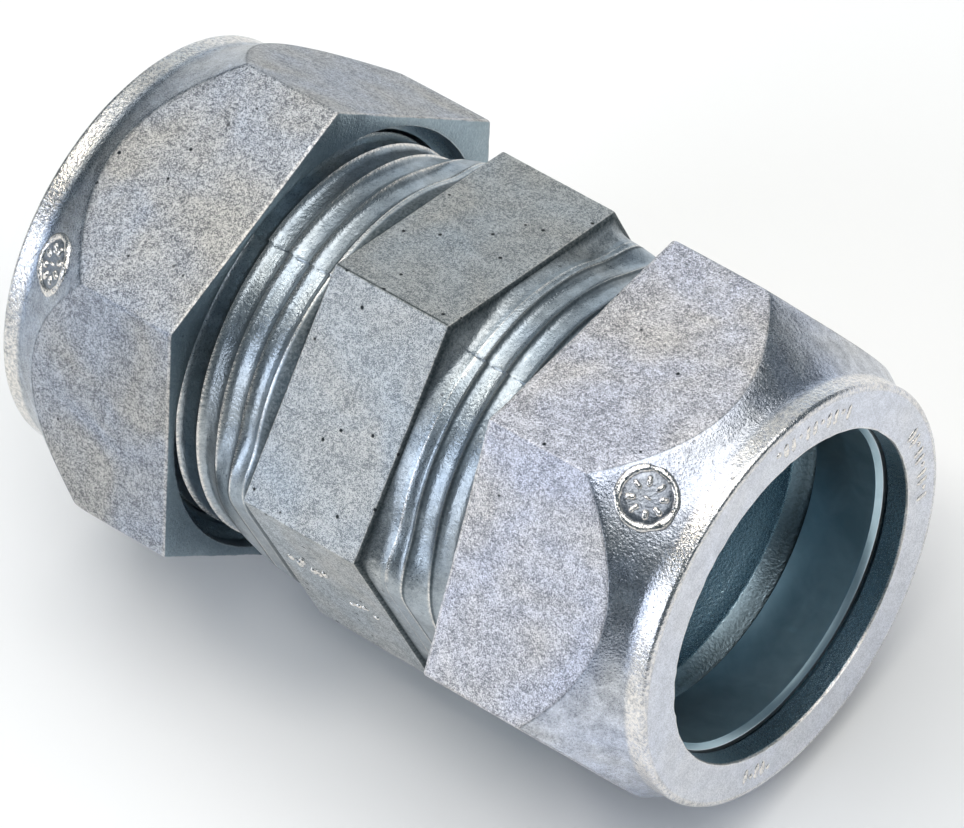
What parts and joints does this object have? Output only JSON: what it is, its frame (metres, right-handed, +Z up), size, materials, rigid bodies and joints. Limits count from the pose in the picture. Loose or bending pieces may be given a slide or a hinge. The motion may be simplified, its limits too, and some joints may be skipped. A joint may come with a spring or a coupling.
{
  "type": "conduit compression coupling",
  "caption": "Straight compression coupling for thin-wall conduit: threaded hexagon body, gland nuts and split compression rings.",
  "frame": {"origin": "middle of the body, on the conduit axis", "axes": "+X along the conduit axis towards the near gland nut, +Z up as the fitting lies on its two gland nuts"},
  "size_m": [0.0566, 0.0376, 0.0354],
  "materials": {
    "cast_zinc_body": "bare die-cast zinc alloy with fine cast grain",
    "cast_zinc_nut": "bare die-cast zinc alloy, tumbled, with worn bright edges",
    "ring_steel": "plated spring steel"
  },
  "bodies": {
    "body": {"fitting_body": "cast_zinc_body"},
    "near_ring": {"near_compression_ring": "ring_steel"},
    "near_nut": {"near_gland_nut": "cast_zinc_nut"},
    "far_ring": {"far_compression_ring": "ring_steel"},
    "far_nut": {"far_gland_nut": "cast_zinc_nut"}
  },
  "joints": [
    {"name": "near_travel", "type": "slide", "parent": "body", "child": "near_ring", "axis": [1, 0, 0], "range_m": [-0.00118, 0.00726]},
    {"name": "near_screw", "type": "hinge", "parent": "near_ring", "child": "near_nut", "pos_m": [0.0202, 0, 0], "axis": [1, 0, 0], "range_deg": [-234, 1440]},
    {"name": "far_travel", "type": "slide", "parent": "body", "child": "far_ring", "axis": [-1, 0, 0], "range_m": [-0.00118, 0.00726]},
    {"name": "far_screw", "type": "hinge", "parent": "far_ring", "child": "far_nut", "pos_m": [-0.0202, 0, 0], "axis": [-1, 0, 0], "range_deg": [-234, 1440]}
  ],
  "couplings": [
    {"joint": "near_travel", "follows": "near_screw", "m_per_rad": 0.00028875},
    {"joint": "far_travel", "follows": "far_screw", "m_per_rad": 0.00028875}
  ]
}
